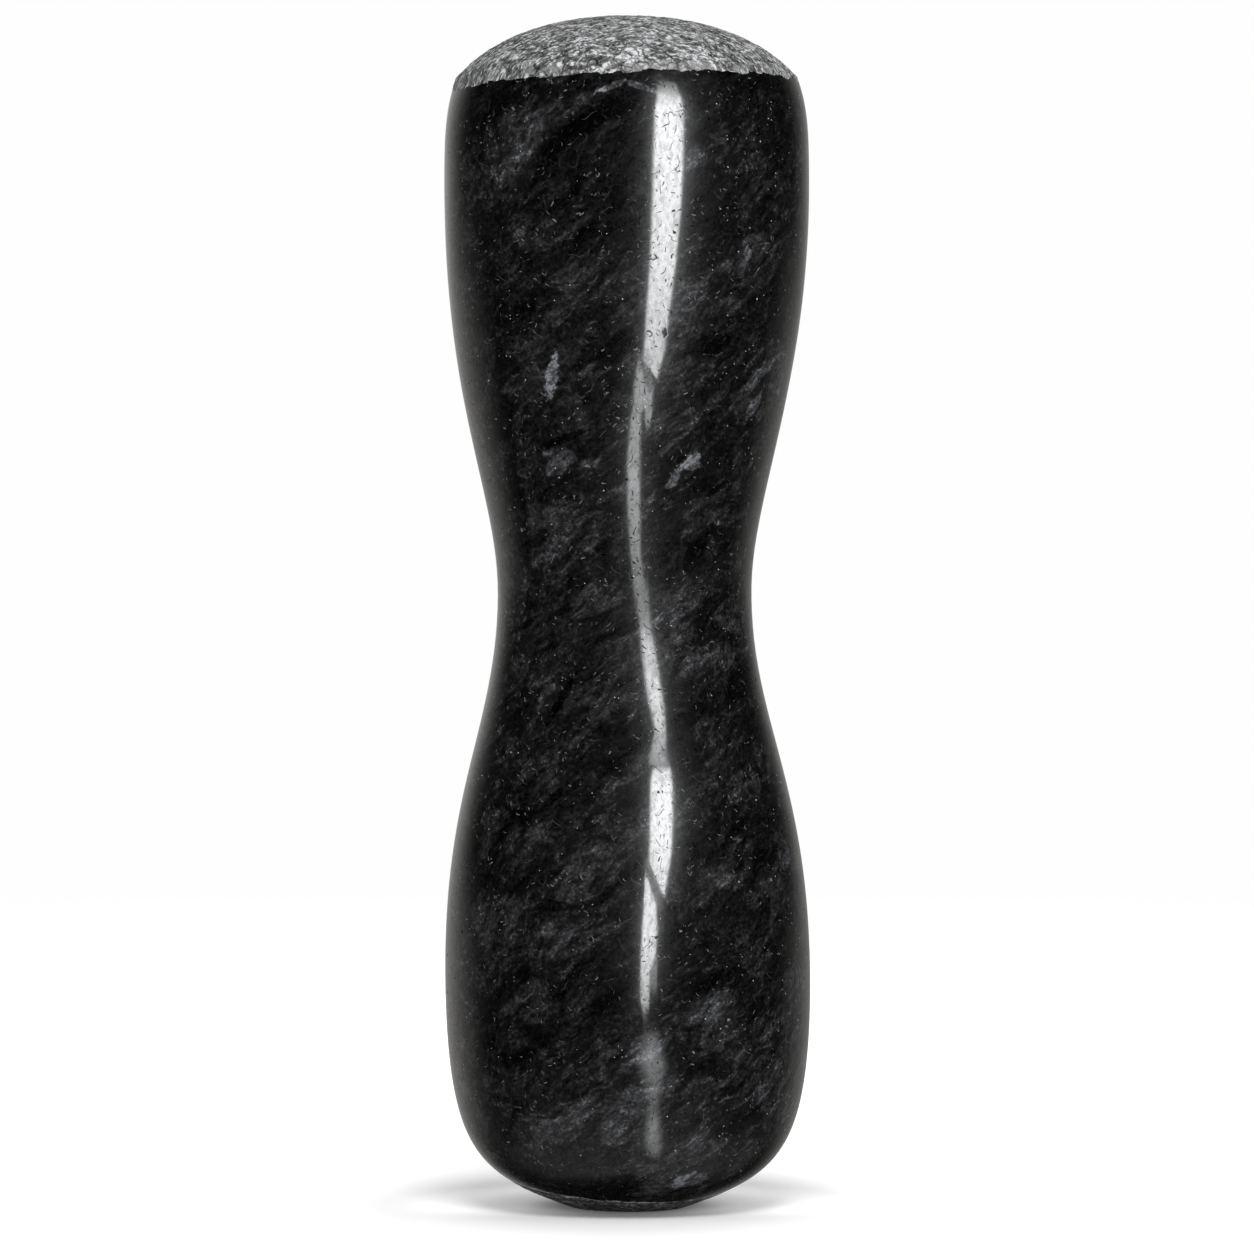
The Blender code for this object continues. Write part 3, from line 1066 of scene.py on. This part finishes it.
@dataclass
class Studio:
    """Pale floor, soft light from all sides, a window for the gloss, and the camera."""

    camera_distance: float = 0.715
    camera_height: float = 0.0793
    camera_aside: float = 0.00007
    lens: float = 149.7
    sensor: float = 36.0
    floor_radius: float = 0.9
    floor_sides: int = 64
    floor_grey: float = 0.75
    surround: float = 0.76
    from_front: float = 0.35
    from_right: float = 0.43
    lamp_place: Triple = (0.020, -0.42, 0.60)
    lamp_size: float = 0.27
    lamp_power: float = 3.45
    lamp_aim: Triple = (0, 0, 0.08)
    wall_share: float = 0.50
    wall_share_right: float = 0.36
    darkest: float = 0.006
    seen_white: float = 0.99
    gloss_tint: tuple[float, ...] = (1.0, 0.985, 0.96, 1.0)

    def build(self) -> None:
        """Set up floor, lights and camera."""
        self.floor()
        self.world()
        self.lights()
        self.camera()
        scene = bpy.context.scene
        scene.view_settings.view_transform = "Standard"
        scene.view_settings.look = "None"

    def camera(self) -> None:
        """Set up the camera, level with the middle of the stone."""
        data = bpy.data.cameras.new("camera")
        data.lens = self.lens
        data.sensor_width = self.sensor
        data.clip_start = 0.01
        data.clip_end = 10.0
        camera = placed("camera", data)
        camera.location = (self.camera_aside, -self.camera_distance, self.camera_height)
        camera.rotation_euler = (math.radians(90), 0, 0)
        bpy.context.scene.camera = camera

    def floor(self) -> None:
        """Lay the pale floor, which fades into the white surround. Its glow is painted light: a faint ring
        close behind and beside the stone, and a glow that grows further out, which together shape the soft
        shade about the stone.
        """
        mesh = bpy.data.meshes.new("floor")
        turns = [math.tau * i / self.floor_sides for i in range(self.floor_sides)]
        rim = [(self.floor_radius * math.cos(turn), self.floor_radius * math.sin(turn), 0.0)
               for turn in turns]
        mesh.from_pydata(rim, [], [tuple(range(self.floor_sides))])
        material, w, shader = started_material("pale_floor")
        place = w.place()
        away = w.length(place)
        # Painted light: a faint glow ring 8 to 34 mm from the stone's axis, only behind and beside it,
        # that lifts the shade there.
        ring = w.times(w.ramp(away, 0.008, 0.016, 0.25, 1.0), w.ramp(away, 0.034, 0.021), 0.30)
        x, y, _ = w.parts(place)
        behind = w.ramp(y, -0.016, -0.004)
        reach = w.length(w.vector(x, w.most(y, w.times(y, 0.66)), 0.0))
        # Painted light: glow that grows with distance from the stone, and starts later in front, so the
        # painted shade about the stone reaches further forward than to the sides.
        far = w.add(w.ramp(reach, 0.016, 0.030, 0.0, 0.15), w.ramp(reach, 0.027, 0.055, 0.0, 0.24),
                    w.ramp(away, 0.07, 0.30, 0.0, 0.26))
        w.fill(shader, {
            "Base Color": (self.floor_grey, self.floor_grey, self.floor_grey, 1.0),
            "Roughness": 1.0,
            "Specular IOR Level": 0.0,
            "Alpha": w.ramp(away, self.floor_radius * 0.35, self.floor_radius * 0.95, 1.0, 0.0),
            "Emission Strength": w.add(w.times(ring, behind), far),
            "Emission Color": WHITE,
        })
        mesh.materials.append(material)
        floor = placed("floor", mesh)
        floor.visible_glossy = False

    def world(self) -> None:
        """Surround the stone with light.

        It is white to look at, soft white for matt surfaces, and dark with pale sides for gloss.
        """
        world = bpy.data.worlds.new("surround")
        world.use_nodes = True
        tree = world.node_tree
        tree.nodes.clear()
        w = Wiring(tree)
        x, y, z = w.parts(w.node("ShaderNodeTexCoord", output="Generated"))
        aside = w.times(w.math("ARCTAN2", x, w.times(y, -1.0)), DEGREES)
        rise = w.times(w.math("ARCSINE", z), DEGREES)
        turned = w.math("ABSOLUTE", w.add(aside, w.ramp(aside, -20.0, 20.0, 0.0, -7.0)))
        wall = w.ramp(turned, 118.0, 162.0)
        table = w.times(w.ramp(turned, 96.0, 145.0), w.ramp(rise, -34.0, -8.0), 0.75)
        low = w.ramp(rise, 5.0, -4.0)
        both = w.add(w.times(wall, w.rest(low)), w.times(table, low))
        before = w.times(w.ramp(rise, -18.0, -60.0, 0.0, 0.19), w.ramp(turned, 160.0, 100.0))
        sides = w.ramp(aside, -20.0, 20.0, self.wall_share, self.wall_share_right)
        gloss = w.add(w.times(both, sides), before, self.darkest)
        path = tree.nodes.new("ShaderNodeLightPath")
        fall = w.add(1.0, w.times(y, -self.from_front), w.times(x, self.from_right))
        matt = w.node("ShaderNodeBackground", WHITE, w.times(fall, self.surround))
        seen = w.node("ShaderNodeBackground", WHITE, self.seen_white)
        shine = w.node("ShaderNodeBackground", self.gloss_tint, gloss)
        light = w.node("ShaderNodeMixShader", path.outputs["Is Glossy Ray"], matt, shine)
        light = w.node("ShaderNodeMixShader", path.outputs["Is Camera Ray"], light, seen)
        w.made("ShaderNodeOutputWorld", {"Surface": light})
        world.cycles.sampling_method = "NONE"
        bpy.context.scene.world = world

    def lights(self) -> None:
        """Hang the window that the polish reflects and a soft lamp high in front."""
        for pane in WINDOW:
            pane.build()
        light = bpy.data.lights.new("lamp", "AREA")
        light.shape = "DISK"
        light.size = self.lamp_size
        light.energy = self.lamp_power
        lamp = placed("lamp", light)
        lamp.location = self.lamp_place
        aim = Vector(self.lamp_aim) - lamp.location
        lamp.rotation_euler = aim.to_track_quat("-Z", "Y").to_euler()
        lamp.visible_glossy = False


def main() -> None:
    """Build the stone and its studio."""
    logging.basicConfig(level=logging.INFO, format="%(name)s: %(message)s")
    Pestle().build()
    Studio().build()


if __name__ == "__main__":
    main()
